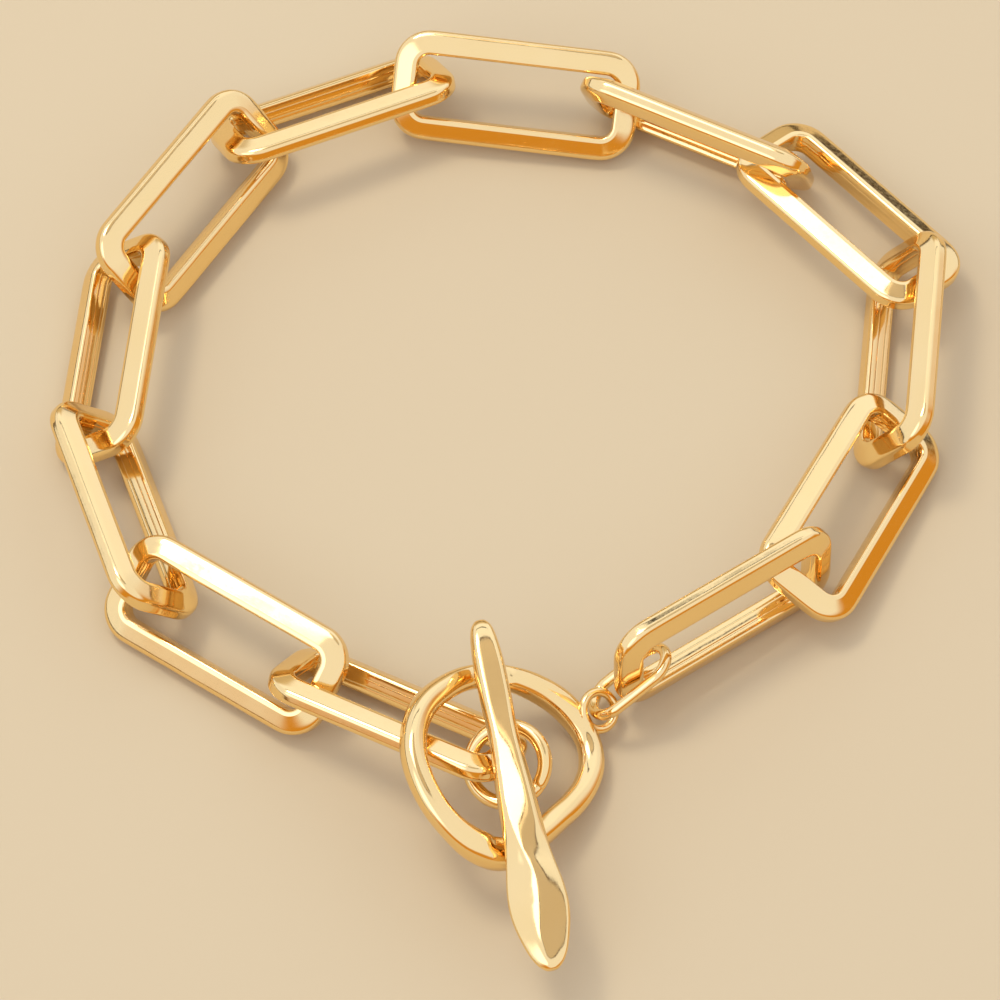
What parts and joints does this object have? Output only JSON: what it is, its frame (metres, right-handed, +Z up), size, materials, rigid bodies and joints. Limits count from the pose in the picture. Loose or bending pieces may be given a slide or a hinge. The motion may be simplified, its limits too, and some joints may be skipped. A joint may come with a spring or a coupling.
{
  "type": "link bracelet",
  "caption": "Link bracelet of long rectangular links with rounded corners, laid in a loop, with an uneven toggle ring and a tapered toggle bar on jump rings, in polished gold plate.",
  "frame": {"origin": "on the surface that the bracelet lies on, under the middle of its outline seen from above", "axes": "+Z up from the surface, -Y towards the toggle clasp and the viewer, +X to the right in that view"},
  "size_m": [0.0648, 0.0762, 0.0089],
  "materials": {
    "link_gold": "polished, with faint waves and fine scratches",
    "clasp_gold": "polished, hand-hammered",
    "ring_gold": "polished drawn wire"
  },
  "bodies": {
    "root": {"link_01": "link_gold", "link_02": "link_gold", "link_03": "link_gold", "link_04": "link_gold", "link_05": "link_gold", "link_06": "link_gold", "link_07": "link_gold", "link_08": "link_gold", "link_09": "link_gold", "link_10": "link_gold", "link_11": "link_gold", "link_12": "link_gold", "toggle_ring": "clasp_gold", "toggle_bar": "clasp_gold", "round_jump_ring": "ring_gold", "oval_jump_ring": "ring_gold"}
  },
  "joints": []
}
